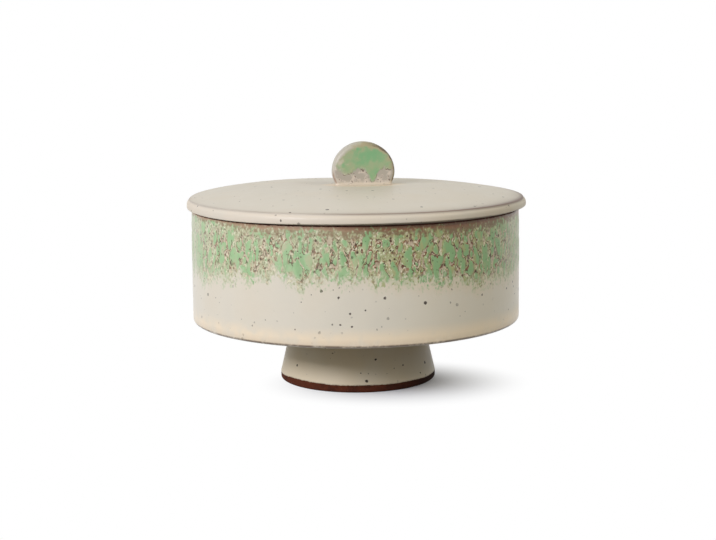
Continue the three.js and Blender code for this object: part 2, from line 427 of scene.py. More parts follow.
inner_foot = foot_radius - FOOT_WALL
inner_neck = FOOT_NECK_RADIUS - FOOT_WALL
foot_profile = chain(
    arc((foot_radius - FOOT_TOE_ROUND, FOOT_TOE_ROUND), FOOT_TOE_ROUND, -90, 0, 6),
    straight((foot_radius, FOOT_TOE_ROUND), (foot_radius, FOOT_BARE_BAND), 6),
    flare_run(28),
    arc((FOOT_NECK_RADIUS + FOOT_NECK_FILLET, neck_top), FOOT_NECK_FILLET, 180, 90, 8),
    straight((FOOT_NECK_RADIUS, bowl_base), (inner_neck, bowl_base), 3),
    straight((inner_neck, bowl_base), (inner_foot, FOOT_TOE_ROUND), 12),
    arc((inner_foot + FOOT_TOE_ROUND, FOOT_TOE_ROUND), FOOT_TOE_ROUND, 180, 270, 6),
)
foot_grid, foot_angle = turned(foot_profile, FOOT_SEGMENTS)
foot_grid += FOOT_SHIFT
glaze_line = FOOT_BARE_BAND + WIPED_LINE_WAVE * wave_round(foot_angle, WIPED_WAVE_WIDTH, foot_radius)
foot = skin("foot_ring", foot_grid, {"over_glaze_line": foot_profile[:, 1:] - glaze_line}, joined=True)

# %% [markdown]
# ## The lid
# The lid plate is a flat crown that falls in a gentle curve to a crease, with a rounded bead for an edge
# and a flat seat below. Handwork left the crease higher in some places and the lower edge lower in one. A
# turned profile alone would be too true for that, so bell curves round the edge lift and lower the grid.
# The lid lies half a millimetre off centre in the play of its ring, as it would after being put down by
# hand.

# %% The lid's profile
LID_SEGMENTS = 480
LID_EDGE_HEIGHT = 4.8
LID_THICKNESS = 5.0
LID_UNDER_RISE = 1.1
LID_UNDER_ROUND = 0.5
UNDER_TURNS_FROM = -110
LID_EDGE_LEAN = 0.85
LID_CREASE_ROUND = 1.0
CREASE_TURNS_FROM = 12
SEAT_OUTER = 69.0
CROWN_FLAT = 19.6
RING_WALL = 4.0
RING_ROUND = 1.2

crease_height = rim_height + LID_EDGE_HEIGHT
ceiling = crown_height - LID_THICKNESS
dome_slope = np.degrees(np.arctan(2 * (crown_height - crease_height) / (lid_radius - CROWN_FLAT)))
crease_corner = (lid_radius - LID_EDGE_LEAN - LID_CREASE_ROUND, crease_height - LID_CREASE_ROUND)
crease_arc = arc(crease_corner, LID_CREASE_ROUND, CREASE_TURNS_FROM, 90 - dome_slope, 6)
under_corner = (lid_radius - LID_UNDER_ROUND, rim_height + LID_UNDER_RISE + LID_UNDER_ROUND)
under_arc = arc(under_corner, LID_UNDER_ROUND, UNDER_TURNS_FROM, 0, 8)
seat_inner = ring_radius - RING_WALL - RING_ROUND


def dome_run(flat_height, edge, steps):
    """A shallow dome from its edge to its flat crown: the fall grows with the square of the way out."""
    share = np.linspace(1, 0, steps + 1)
    radius = CROWN_FLAT + (edge[0] - CROWN_FLAT) * share
    return np.column_stack((radius, flat_height - (flat_height - edge[1]) * share**2))


def edge_run(low, high, steps):
    """The lid's edge between two points: upright below, leaning in with the fourth power of the way up."""
    share = np.linspace(0, 1, steps + 1)
    return np.column_stack((low[0] + (high[0] - low[0]) * share**4, low[1] + (high[1] - low[1]) * share))


lid_profile = chain(
    straight((0, ceiling), (CROWN_FLAT, ceiling), 4),
    dome_run(ceiling, (seat_inner, rim_height), 14)[::-1],
    straight((seat_inner, rim_height), (SEAT_OUTER, rim_height), 3),
    under_arc,
    edge_run(under_arc[-1], crease_arc[0], 8),
    crease_arc,
    dome_run(crown_height, crease_arc[-1], 30),
    straight((CROWN_FLAT, crown_height), (0, crown_height), 6),
)
print("lid profile:", len(lid_profile), "rows")

# %% The lid's uneven edge
# A lift or drop is its middle and its half width in degrees (180 left, 270 front), and its height.
CREASE_LIFTS = ((266, 25, 0.25), (132, 34, 0.9), (48, 25, 0.35))
EDGE_DROPS = ((228, 30, 0.7),)
CREASE_HIGHER_LEFT = 0.2
LID_SHIFT = np.array((0.5, 0.0, 0.0))

lid_grid, lid_angle = turned(lid_profile, LID_SEGMENTS)
lid_degrees = np.degrees(lid_angle)
lid_row_radius = lid_profile[:, 0]
lid_row_height = lid_profile[:, 1]
edge_low, edge_high = under_arc[-1, 1], crease_arc[0, 1]
up_the_edge = np.clip((lid_row_height - edge_low) / (edge_high - edge_low), 0, 1)
near_crease = smooth_step(CROWN_FLAT, crease_arc[0, 0], lid_row_radius) * up_the_edge
near_under = smooth_step(SEAT_OUTER, under_arc[0, 0], lid_row_radius) * (1 - up_the_edge)
to_left = 0.5 - 0.5 * np.cos(lid_angle)
crease_lift = CREASE_HIGHER_LEFT * to_left + bumps(lid_degrees, CREASE_LIFTS)
edge_drop = bumps(lid_degrees, EDGE_DROPS)
lid_grid[..., 2] += near_crease[:, None] * crease_lift - near_under[:, None] * edge_drop
lid_grid += LID_SHIFT
print(f"crease lifted by {crease_lift.min():.2f} to {crease_lift.max():.2f} mm")

# %% [markdown]
# ## The crease line and its painted shade
# On a sharp bend the glaze runs off and the dark clay shows through: a thin line along the crease. Its
# strengthening on the right, the smoky shade inside it there and a faint halo round it are painted shade.
# A pointiness node would find every bend alike, so a field holds the line and the shade instead. A second
# field marks the seat, which was left bare.

# %% Fields of the lid, and the lid plate
CREASE_LINE_HALF = 0.5
CREASE_DARKEST_AT = -15
CREASE_FAINT = 0.33
CREASE_STRONGER = 0.57
CREASE_WAVE = 0.06
CREASE_WAVE_WIDTH = 9.0
# The shade inside the crease on the right and the halo round the crease are painted shade.
SHADE_STRENGTH = 0.85
SHADE_REACH = 2.4
HALO_STRENGTH = 0.06
HALO_REACH = 5.0
SEAT_BLEND = 1.0

crease_middle = crease_arc[3]
from_crease = np.hypot(lid_row_radius - crease_middle[0], lid_row_height - crease_middle[1])[:, None]
inside_crease = (lid_row_radius < crease_middle[0])[:, None]
right_side = 0.5 + 0.5 * np.cos(lid_angle - np.radians(CREASE_DARKEST_AT))
# The line is painted stronger towards the shaded right side.
line_strength = CREASE_FAINT + CREASE_STRONGER * right_side**2
line_strength = line_strength + CREASE_WAVE * wave_round(lid_angle, CREASE_WAVE_WIDTH, lid_radius)
line = bell(from_crease, 0.0, CREASE_LINE_HALF) * np.clip(line_strength, 0.1, 1)
# Painted shade: darker inside the crease on the right, and a faint painted halo of shade round the crease.
shade = np.exp(-from_crease / SHADE_REACH) * inside_crease * right_side**5
halo = bell(from_crease, 0.0, HALO_REACH)
crease_line_and_shade = line + SHADE_STRENGTH * shade + HALO_STRENGTH * halo
on_seat = lid_row_height < rim_height + SAME_POINT
seat_bare = smooth_step(seat_inner - SEAT_BLEND, seat_inner, lid_row_radius) * on_seat
lid_plate = skin(
    "lid_dome",
    lid_grid,
    {"thin_edge": np.minimum(crease_line_and_shade, 1.0), "bare": seat_bare[:, None]},
)

# %% [markdown]
# ## The locating ring
# Under the lid hangs a plain ring of bare clay, which drops into the bowl's mouth and keeps the lid from
# sliding off. It is a turned profile that closes on itself, like the foot's, with two rounded corners
# below.

# %% The locating ring
ring_inner = ring_radius - RING_WALL
ring_round_top = ring_bottom + RING_ROUND
ring_profile = chain(
    arc((ring_inner + RING_ROUND, ring_round_top), RING_ROUND, 180, 270, 6),
    arc((ring_radius - RING_ROUND, ring_round_top), RING_ROUND, -90, 0, 6),
    straight((ring_radius, ring_round_top), (ring_radius, rim_height), 4),
    straight((ring_radius, rim_height), (ring_inner, rim_height), 3),
    straight((ring_inner, rim_height), (ring_inner, ring_round_top), 4)[:-1],
)
ring_grid = turned(ring_profile, LID_SEGMENTS)[0]
ring = skin("locating_ring", ring_grid + LID_SHIFT, {}, joined=True)

# %% [markdown]
# ## The knob
# The knob is an upright oval disc with a rounded rim, flatter below its middle than above it, and cut off
# by the lid, with clay smoothed into a fillet round its root. A squashed cylinder joined to the lid by a
# Boolean would come close, but its fillet would be hard to shape. Here rings of points run from the middle
# of the front face to the rim, over it, and back to the middle of the rear face. A ring has the oval's
# outline above and the lid's straight line below. Near the lid, the fillet widens the disc by a quarter
# circle and tapers off round the root's ends.

# %% The knob's rings
KNOB_SEGMENTS = 240
KNOB_WIDTH = 26.6
KNOB_DISC_HEIGHT = 25.3
KNOB_LOWER_HALF = 10.6
KNOB_THICKNESS = 8.0
KNOB_EDGE_ROUND = 1.5
FACE_RINGS = 14
FACE_SHARE = 0.8
BEND_RINGS = 8
# Two more rings on the face, in edge rounds from the outline, keep the bend crisp.
RINGS_BEFORE_BEND = np.array((1.3, 1.15))

half_wide = KNOB_WIDTH / 2
half_tall = KNOB_DISC_HEIGHT / 2
half_thick = KNOB_THICKNESS / 2
disc_middle = knob_height - half_tall


def knob_rows():
    """Ring sizes as shares of the outline, and each ring's place, from the front face over to the rear."""
    edge_share = KNOB_EDGE_ROUND / half_wide
    face = np.concatenate((np.linspace(0, FACE_SHARE, FACE_RINGS), 1 - edge_share * RINGS_BEFORE_BEND))
    bend = np.radians(np.linspace(90, 0, BEND_RINGS + 1))
    rim = 1 - edge_share * (1 - np.cos(bend))
    rim_thick = half_thick - KNOB_EDGE_ROUND * (1 - np.sin(bend))
    size = np.concatenate((face, rim))
    thick = np.concatenate((np.full(len(face), half_thick), rim_thick))
    return np.concatenate((size, [1.0], size[::-1])), np.concatenate((-thick, [0.0], thick[::-1]))


ring_size, across = knob_rows()
print("knob:", len(ring_size), "rings")

# %% The knob's shape
# The rim's round grows over a height, because the lid cuts the disc off square. The fillet tapers off with
# a power of the way along the root, and a share of it widens the disc's ends.
KNOB_ROUND_GROWS_OVER = 3.0
KNOB_ROOT_FILLET = 1.6
FILLET_TAPER = 6
FILLET_SIDEWAYS = 0.7

turn = np.linspace(0, 2 * np.pi, KNOB_SEGMENTS, endpoint=False)[::-1]
half_height = np.where(np.sin(turn) > 0, half_tall, KNOB_LOWER_HALF)
room_below = disc_middle / (half_height * np.maximum(-np.sin(turn), SAME_POINT))
reach = np.minimum(1, room_below)
way_out = ring_size[:, None] * reach
knob_x = half_wide * way_out * np.cos(turn)
knob_z = disc_middle + half_height * way_out * np.sin(turn)
below_fillet_top = KNOB_ROOT_FILLET - np.clip(knob_z, 0, KNOB_ROOT_FILLET)
fillet = KNOB_ROOT_FILLET - np.sqrt(KNOB_ROOT_FILLET**2 - below_fillet_top**2)
root_half = half_wide * np.sqrt(1 - (disc_middle / KNOB_LOWER_HALF) ** 2)
along_root = np.clip(np.abs(knob_x) / root_half, 0, 1)
rounded = smooth_step(0.0, KNOB_ROUND_GROWS_OVER, disc_middle + half_height * reach * np.sin(turn))
taken_off = (half_thick - np.abs(across))[:, None] * rounded
thickness = half_thick - taken_off + fillet * np.sqrt(1 - along_root**FILLET_TAPER)
knob_y = np.sign(across)[:, None] * thickness
knob_x = knob_x * (1 + FILLET_SIDEWAYS * fillet / half_wide)
print(f"knob's root {2 * knob_x[knob_z < SAME_POINT].max():.1f} mm wide")

# %% [markdown]
# ## Where the green ran on the knob
# Green glaze covers the knob and ran down its faces in a few drips. Round the rim it thinned, where the
# clay bends. A texture could be painted for this too, but as on the bowl, fields follow the shape: the
# height over the drips' ragged edge, the nearness of the rim, and the places across the disc that the
# colours change with.

# %% Fields of the knob, and the knob
# A drip is its place across the face, its half width and how far it ran below the green's edge.
FRONT_DRIPS = ((3.7, 2.1, 5.2), (-7.5, 3.0, 2.2), (-0.5, 1.6, -0.6), (9.0, 1.6, -0.6))
GREEN_EDGE = 7.2
# The rim's glaze is measured from a lower middle, which makes it wider on top.
RIM_DROP = 1.3
# The rim's glaze begins and is full at these shares of the way out.
RIM_SHARES = (0.8, 1.04)
SIDE_SHARES = (0.87, 0.97)
KNOB_OFFSET = 3.0
KNOB_TURN = np.radians(6)

to_front = np.where(across[:, None] < 0, 1.0, -1.0)
over_drips = knob_z - GREEN_EDGE + bumps(to_front * knob_x, FRONT_DRIPS)
rim_up = (knob_z - disc_middle + RIM_DROP) / half_tall
near_rim = smooth_step(*RIM_SHARES, np.hypot(knob_x / half_wide, rim_up))
side_rim = smooth_step(*SIDE_SHARES, ring_size)[:, None] * smooth_step(0.4, 0.8, np.abs(np.cos(turn)))

cosine, sine = np.cos(KNOB_TURN), np.sin(KNOB_TURN)
knob_grid = np.stack((knob_x * cosine - knob_y * sine, knob_x * sine + knob_y * cosine, knob_z), axis=-1)
knob_place = LID_SHIFT + np.array((KNOB_OFFSET, 0.0, crown_height))
knob = skin(
    "disc_knob",
    knob_grid + knob_place,
    {
        "over_drips": over_drips,
        "near_rim": np.maximum(near_rim, side_rim),
        "over_lid": knob_z,
        "to_right": knob_x / half_wide,
        "to_face": np.abs(across)[:, None] / half_thick,
    },
)

# %% [markdown]
# ## Node helpers
# Materials are built from many small nodes. They could be wired by hand in the shader editor. These helpers
# add a node, fill in its inputs and return its output, so that a material below reads like a recipe: noise
# of a size, a step between two levels, one coat of colour over another. Noise is scaled to a spread of 1,
# so a step from 0 to 1 starts at the middle of the noise and is full one spread above it.

# %% Values from nodes


def add(tree, kind, inputs, output=0, **settings):
    """A new node with its settings and inputs. An input is a value, or the output of another node."""
    made = tree.nodes.new(kind)
    for name, value in settings.items():
        setattr(made, name, value)
    for key, value in inputs.items():
        if isinstance(value, bpy.types.NodeSocket):
            tree.links.new(value, made.inputs[key])
        else:
            made.inputs[key].default_value = value
    return made.outputs[output]


def field(tree, name):
    """A value stored at the mesh's points."""
    return add(tree, "ShaderNodeAttribute", {}, "Fac", attribute_name=name)


def place(tree):
    """The point's own place, in metres."""
    return add(tree, "ShaderNodeTexCoord", {}, "Object")


def along(tree, vector, axis):
    """One coordinate of a place or a direction."""
    return add(tree, "ShaderNodeSeparateXYZ", {0: vector}, axis)


def stretched(tree, vector, tall):
    """The place with its height divided, so that a pattern on it is that many times taller than wide."""
    return add(tree, "ShaderNodeMapping", {"Vector": vector, "Scale": (1, 1, 1 / tall)})


def lowered(tree, vector, drop):
    """The place moved down by millimetres, so that a pattern on it shows that much higher up."""
    return add(tree, "ShaderNodeVectorMath", {0: vector, 1: (0, 0, -drop * MM)}, operation="ADD")


def oval_distance(tree, vector, middle, radii):
    """Distance from the middle of an oval: the length of (place - middle) / radii."""
    offset = add(tree, "ShaderNodeVectorMath", {0: vector, 1: middle}, operation="SUBTRACT")
    share = add(tree, "ShaderNodeVectorMath", {0: offset, 1: radii}, operation="DIVIDE")
    return add(tree, "ShaderNodeVectorMath", {0: share}, "Value", operation="LENGTH")


def weigh(tree, *terms):
    """The sum of outputs times weights."""
    total = 0.0
    for socket, weight in terms:
        total = add(tree, "ShaderNodeMath", {0: socket, 1: weight, 2: total}, operation="MULTIPLY_ADD")
    return total


def distance(tree, value, level):
    """Distance of a value from a level."""
    apart = add(tree, "ShaderNodeMath", {0: value, 1: level}, operation="SUBTRACT")
    return add(tree, "ShaderNodeMath", {0: apart}, operation="ABSOLUTE")


# %% Noise, masks and coats
NOISE_MIDDLE = 0.5
NOISE_SPREAD = 0.11


def noise(tree, vector, size, detail=1.0):
    """Smooth noise with blobs of a size in millimetres, scaled to mean 0 and a spread of about 1."""
    inputs = {"Vector": vector, "Scale": 1 / (size * MM), "Detail": detail}
    raw = add(tree, "ShaderNodeTexNoise", inputs)
    centred = add(tree, "ShaderNodeMath", {0: raw, 1: NOISE_MIDDLE}, operation="SUBTRACT")
    return add(tree, "ShaderNodeMath", {0: centred, 1: NOISE_SPREAD}, operation="DIVIDE")


def ramp(tree, value, low, high, start, end, curve="LINEAR"):
    """From start at low to end at high, in a straight line or an S curve, and level beyond."""
    inputs = {"Value": value, "From Min": low, "From Max": high, "To Min": start, "To Max": end}
    return add(tree, "ShaderNodeMapRange", inputs, interpolation_type=curve)


def step(tree, value, low, high, top=1.0):
    """0 at low and top at high, with an S curve between. Low may be the larger one."""
    return ramp(tree, value, low, high, 0.0, top, "SMOOTHSTEP")


def overlap(tree, *masks):
    """Where all masks are 1: their product."""
    total = masks[0]
    for mask in masks[1:]:
        total = add(tree, "ShaderNodeMath", {0: total, 1: mask}, operation="MULTIPLY")
    return total


def coats(tree, base, *layers):
    """Colours painted over a base in turn, each where all the masks that follow it are 1."""
    for over, *masks in layers:
        base = add(tree, "ShaderNodeMix", {0: overlap(tree, *masks), 6: base, 7: over}, 2, data_type="RGBA")
    return base


def new_material(name):
    """A new material, its node tree and its Principled shader, wired to the output."""
    material = bpy.data.materials.new(name)
    material.use_nodes = True
    tree = material.node_tree
    return material, tree, tree.nodes["Principled BSDF"]


def dress(piece, material):
    """Puts a material on a piece."""
    piece.data.materials.append(material)
    print(piece.name, "is dressed in", material.name)


def colour(red, green, blue):
    """A colour as it looks on screen, in steps of 255, turned into the linear values that shaders use."""
    screen = np.array((red, green, blue)) / 255
    linear = np.where(screen <= 0.04045, screen / 12.92, ((screen + 0.055) / 1.055) ** 2.4)
    return (*linear.tolist(), 1.0)


# %% [markdown]
# ## Iron specks
# Iron in the clay bleeds through the glaze as dark specks, up to a millimetre or so across. They could be
# scattered as tiny meshes, but a texture is lighter. A Voronoi texture in space puts one point in each
# cell, and the surface cuts some of the small balls round these points, which gives specks of mixed size.
# Noise bends the place first, so that outlines aren't round. Each cell's random colour leaves a share of
# the cells empty. Several materials need specks, so they are a node group.

# %% The iron speck group
BEND_SIZE = 0.8
BEND = 0.7
SMALLEST_BALL = 0.35
BALL_GROWTH = 1.6
BALL_CORE = 0.8


def new_group(name, inputs, output):
    """A node group with named inputs and one number as output. Returns the group and its two ends."""
    group = bpy.data.node_groups.new(name, "ShaderNodeTree")
    for socket, kind in inputs.items():
        group.interface.new_socket(socket, in_out="INPUT", socket_type=kind)
    group.interface.new_socket(output, in_out="OUTPUT", socket_type="NodeSocketFloat")
    return group, group.nodes.new("NodeGroupInput").outputs, group.nodes.new("NodeGroupOutput").inputs


def make_speck_group():
    """Balls of a radius about one random point per cell, kept in a share of the cells, with soft edges."""
    sockets = {name: "NodeSocketFloat" for name in ("Cells per m", "Size", "Share")}
    group, given, result = new_group("iron specks", {"Place": "NodeSocketVector", **sockets}, "Mask")
    bend = {"Vector": given["Place"], "Scale": 1 / (BEND_SIZE * MM)}
    bent = add(group, "ShaderNodeTexNoise", bend, "Color")
    bent = add(group, "ShaderNodeVectorMath", {0: bent, 1: [NOISE_MIDDLE] * 3}, operation="SUBTRACT")
    bent = add(group, "ShaderNodeVectorMath", {0: bent, "Scale": BEND * MM}, operation="SCALE")
    bent = add(group, "ShaderNodeVectorMath", {0: bent, 1: given["Place"]}, operation="ADD")
    cell = group.nodes.new("ShaderNodeTexVoronoi")
    group.links.new(bent, cell.inputs["Vector"])
    group.links.new(given["Cells per m"], cell.inputs["Scale"])
    chance = group.nodes.new("ShaderNodeSeparateColor")
    group.links.new(cell.outputs["Color"], chance.inputs[0])
    kept = add(group, "ShaderNodeMath", {0: chance.outputs[0], 1: given["Share"]}, operation="LESS_THAN")
    grown = step(group, chance.outputs[1], 0.0, BALL_GROWTH)
    size = add(group, "ShaderNodeMath", {0: grown, 1: SMALLEST_BALL}, operation="ADD")
    size = overlap(group, size, given["Size"], kept)
    core = add(group, "ShaderNodeMath", {0: size, 1: BALL_CORE}, operation="MULTIPLY")
    group.links.new(step(group, cell.outputs["Distance"], size, core), result["Mask"])
    return group


speck_group = make_speck_group()


def specks(tree, vector, cell, size, share):
    """The speck group in a material: at most one speck per cell, both in mm, in a share of the cells."""
    made = tree.nodes.new("ShaderNodeGroup")
    made.node_tree = speck_group
    tree.links.new(vector, made.inputs["Place"])
    made.inputs["Cells per m"].default_value = 1 / (cell * MM)
    made.inputs["Size"].default_value = size / cell
    made.inputs["Share"].default_value = share
    return made.outputs["Mask"]


print("speck group:", len(speck_group.nodes), "nodes")

# %% [markdown]
# ## The cream glaze
# The ground glaze is a satin cream that drifts between greyer and warmer, with iron specks. One flat colour
# would look like plastic, so broad noise tints it. Every glazed piece starts from it, so one function
# paints it, and each material adds its own parts. The surface gets a faint ripple by a bump, which is too
# fine for the mesh.

# %% Cream ground
CREAM = colour(226, 218, 199)
CREAM_WARM = colour(225, 208, 180)
CREAM_GREY = colour(219, 212, 195)
SPECK = colour(54, 42, 32)
# A kind of speck is the width of its cells and about its largest radius, in millimetres.
LARGE_SPECK = (3.6, 0.8)
SMALL_SPECK = (2.4, 0.46)
LARGE_SHARE = 0.6
SMALL_SHARE = 0.4


def cream_ground(tree, vector, main, share=LARGE_SHARE):
    """The cream glaze's colour: drift, small faint specks, and large specks in a share of their cells."""
    drift = noise(tree, vector, 22.0, 2.0)
    small = specks(tree, vector, *SMALL_SPECK, SMALL_SHARE)
    large = specks(tree, vector, *LARGE_SPECK, share)
    return coats(
        tree,
        main,
        (CREAM_GREY, step(tree, drift, -0.5, 2.5, 0.6)),
        (CREAM_WARM, step(tree, drift, 0.5, -2.5, 0.2)),
        (SPECK, small, step(tree, noise(tree, vector, 9.0), -1.5, 1.5, 0.6)),
        (SPECK, large, step(tree, noise(tree, vector, 13.0), -2.0, 0.2, 0.97)),
    )


# %% Gloss and ripple
RIPPLE_SIZE = 2.4
RIPPLE_DEPTH = 0.006
GLOSS_PATCH = 7.0


def glaze_surface(tree, shader, vector, base, rough, height, depth):
    """Plugs colour, roughness and a fine bump into the shader. Height times depth is in millimetres."""
    tree.links.new(base, shader.inputs["Base Color"])
    tree.links.new(rough, shader.inputs["Roughness"])
    total = weigh(tree, (noise(tree, vector, RIPPLE_SIZE, 2.0), RIPPLE_DEPTH), (height, depth))
    bump = add(tree, "ShaderNodeBump", {"Height": total, "Distance": MM, "Strength": 1.0})
    tree.links.new(bump, shader.inputs["Normal"])


def rough_drift(tree, vector, low, high):
    """Roughness that drifts between two values."""
    return ramp(tree, noise(tree, vector, GLOSS_PATCH, 2.0), -2.0, 2.0, low, high)


# %% [markdown]
# ## Bare clay
# The ring, the lid's seat and the foot's lowest band were kept free of glaze, because glaze would stick in
# the kiln. The fired clay is red-brown, matt and grainy. Three tones are enough, in clouds and in grains,
# and one function paints them wherever clay shows. The ring is bare all over, so its material is the clay
# alone.

# %% The ring's material
CLAY = colour(88, 44, 27)
CLAY_DARK = colour(62, 32, 23)
CLAY_LIGHT = colour(110, 62, 44)
CLAY_ROUGHNESS = (0.78, 0.9)
GRIT_DEPTH = 0.012


def bare_clay(tree, vector):
    """Fired red-brown clay: three tones in clouds, grains and dots."""
    return coats(
        tree,
        CLAY,
        (CLAY_DARK, step(tree, noise(tree, vector, 5.0, 3.0), -0.3, 1.8, 0.7)),
        (CLAY_LIGHT, step(tree, noise(tree, vector, 0.6, 2.0), 0.4, 2.0, 0.6)),
        (CLAY_DARK, specks(tree, vector, 1.1, 0.3, 0.5)),
    )


def clay_finish():
    """The ring under the lid, bare all over."""
    material, tree, shader = new_material("bare stoneware clay")
    vector = place(tree)
    rough = rough_drift(tree, vector, *CLAY_ROUGHNESS)
    grit = noise(tree, vector, 0.5, 2.0)
    glaze_surface(tree, shader, vector, bare_clay(tree, vector), rough, grit, GRIT_DEPTH)
    return material


dress(ring, clay_finish())

# %% [markdown]
# ## The bowl's glaze
# From below, the wall is cream, peach towards the heel and, on the right, warmer towards the band, with a
# green haze under the drips. The band comes next, and a thin wash under the rim, where the glaze ran off
# and where the shade under the lid is partly painted in.
# The wall's recipe is long, so each of these is a function of its own. They share the fields and noises,
# which are gathered under one name.

# %% What the bowl's recipes read
BAND_FIELDS = ("islands", "veins", "border", "below_rim", "pale", "rich", "wash", "thin_edge")
# A noise is the size of its blobs in millimetres, how many times taller than wide they are, and its detail.
BAND_NOISES = {
    "fine": (0.95, 1.4, 1.0),
    "grain": (0.75, 1.2, 1.0),
    "wiggle": (1.6, 1.5, 1.0),
    "spot": (1.3, 1.2, 1.0),
    "patch": (5.0, 1.0, 1.0),
    "cloud": (3.0, 1.6, 1.0),
    "pit": (2.0, 1.9, 2.0),
    "streak": (2.0, 4.0, 1.0),
}
PIT_TOP_LIFT = 0.8
# Millimetres below the rim or the border, between which a mask begins and is full.
VEINS_OPEN = (1.5, 8.0)
IRON_CLEARS = (-6.0, 0.5)
BAND_EDGE = (1.2, -1.2)


def band_inputs(tree):
    """The bowl's place, fields and noises. A pit's top is the pit's own noise, shown a little higher up."""
    vector = place(tree)
    inputs = {name: field(tree, name) for name in BAND_FIELDS}
    for name, (size, tall, detail) in BAND_NOISES.items():
        inputs[name] = noise(tree, stretched(tree, vector, tall), size, detail)
    size, tall, detail = BAND_NOISES["pit"]
    higher = stretched(tree, lowered(tree, vector, PIT_TOP_LIFT), tall)
    return SimpleNamespace(vector=vector, pit_top=noise(tree, higher, size, detail), **inputs)


def band_masks(tree, band):
    """Adds the masks that coats share: islands, the part between, open veins, pits, iron and the band."""
    wavy = weigh(tree, (band.veins, 1.0), (band.wiggle, 0.3), (band.fine, 0.12))
    band.from_vein = distance(tree, wavy, 0.0)
    level = weigh(tree, (band.from_vein, AWAY_WEIGHT), (band.islands, BLOB_WEIGHT), (band.fine, 0.15))
    band.island = step(tree, level, 0.3, 0.95)
    band.between = step(tree, band.island, 1.05, 0.45)
    veined = step(tree, weigh(tree, (band.patch, 0.7), (band.rich, 0.7), (band.pale, -1.2)), -1.4, -0.2)
    under_wash = step(tree, weigh(tree, (band.below_rim, 1.0), (band.patch, 0.8)), *VEINS_OPEN)
    band.opened = overlap(tree, veined, under_wash)
    band.pitted = overlap(tree, step(tree, band.from_vein, 0.62, 0.3), band.opened)
    clear = step(tree, weigh(tree, (band.border, 1.0), (band.patch, 1.0)), *IRON_CLEARS, 0.7)
    band.iron = overlap(tree, step(tree, band.rich, -1.4, 0.6), step(tree, clear, 1.0, 0.0))
    ragged = weigh(tree, (band.border, 1.0), (band.fine, 1.1), (band.spot, 0.8))
    band.body = step(tree, ragged, *BAND_EDGE)


# %% The wall below the band
PEACH = colour(246, 227, 196)
GREEN_MIST = colour(186, 199, 158)
# Millimetres below the rim, and below the band's border, between which a coat begins and is full.
PEACH_DEPTHS = (38.5, 45.0)
WARM_DEPTHS = (7.0, 1.0)
HAZE_DEPTHS = (3.0, -1.0)


def wall_below(tree, band):
    """Cream, peach near the heel, warmer near the band where iron is rich, hazy green under the drips."""
    peach = step(tree, weigh(tree, (band.patch, 0.6), (band.rich, 1.6)), -2.4, 1.5)
    near_heel = step(tree, band.below_rim, *PEACH_DEPTHS)
    near_band = step(tree, band.border, *WARM_DEPTHS, 0.5)
    ragged = weigh(tree, (band.border, 1.0), (band.fine, 1.3), (band.spot, 0.8), (band.patch, 0.8))
    return coats(
        tree,
        cream_ground(tree, band.vector, CREAM),
        (PEACH, peach, near_heel),
        (CREAM_WARM, near_band, band.rich),
        (GREEN_MIST, step(tree, ragged, *HAZE_DEPTHS, 0.6)),
    )


# %% [markdown]
# ## The band's colours
# Dull green is speckled light and brown, and soft green islands lie on it. Along the open veins the glaze
# is pitted: a pit is beige below and has a dark top of iron and painted shade, so the same noise is read
# twice, once a little higher up. Brown and rust strokes follow the veins' sides. Towards the border and in
# the pale stretches a mist covers all of this. One noise with a colour ramp would give rings of colour
# round each blob, so every effect is a coat with its own mask.

# %% The band's mottle
GREEN = colour(164, 199, 146)
GREEN_DEEP = colour(140, 178, 124)
GREEN_DULL = colour(194, 195, 157)
GREEN_OLIVE = colour(170, 172, 119)
PALE_GREEN = colour(196, 204, 172)
MIST = colour(217, 216, 187)
LIGHT = colour(240, 239, 212)
BEIGE = colour(236, 230, 200)
PINK = colour(216, 181, 150)
RUST = colour(136, 76, 48)
BROWN = colour(68, 38, 16)
IRON_DOT = (1.8, 0.62)
IRON_DOT_SHARE = 0.65


def band_mottle(tree, band):
    """Dull green under islands, grains, pits along the veins, iron strokes and dots, and mist."""
    ground = coats(tree, GREEN_DULL, (GREEN_OLIVE, band.rich))
    deep = step(tree, weigh(tree, (band.rich, 2.0), (band.cloud, 0.4)), 0.0, 1.5)
    green = coats(tree, GREEN, (GREEN_DEEP, deep))
    not_pit = step(tree, weigh(tree, (band.pit, 1.0), (band.fine, 0.3)), 0.9, 0.1)
    # The pit's dark top is iron and, in part, painted shade.
    pit_shade = overlap(tree, step(tree, band.pit_top, 0.1, 0.7, 0.85), not_pit)
    vein_side = step(tree, distance(tree, band.from_vein, 0.55), 0.22, 0.1)
    drawn = step(tree, weigh(tree, (band.streak, 1.0), (band.rich, 0.35)), -0.4, 0.2)
    stroke = coats(tree, BROWN, (RUST, step(tree, band.spot, -0.5, 1.0)))
    dots = specks(tree, band.vector, *IRON_DOT, IRON_DOT_SHARE)
    misty = weigh(tree, (band.border, 1.0), (band.patch, 0.9), (band.fine, 0.6))
    mist = overlap(tree, step(tree, misty, *BORDER_ZONE, 0.7), step(tree, band.fine, -1.2, 0.8))
    return coats(
        tree,
        ground,
        (green, band.island, step(tree, band.cloud, -2.2, 0.2)),
        (LIGHT, step(tree, band.grain, 0.4, 1.5, 0.6), band.between),
        (BROWN, step(tree, band.grain, -0.6, -1.7, 0.5), band.between),
        (PINK, step(tree, band.pit, -0.9, 0.3, 0.6), band.pitted),
        (BEIGE, step(tree, band.pit, -0.1, 0.6), band.pitted),
        (RUST, step(tree, band.pit_top, -0.4, 0.4, 0.5), band.pitted, band.iron),
        (BROWN, pit_shade, band.pitted, band.iron),
        (stroke, vein_side, band.opened, band.iron, drawn),
        (BROWN, dots, band.iron, step(tree, band.island, 2.4, 0.0)),
        (MIST, mist),
        (PALE_GREEN, band.pale, step(tree, band.streak, -2.5, 0.5)),
    )
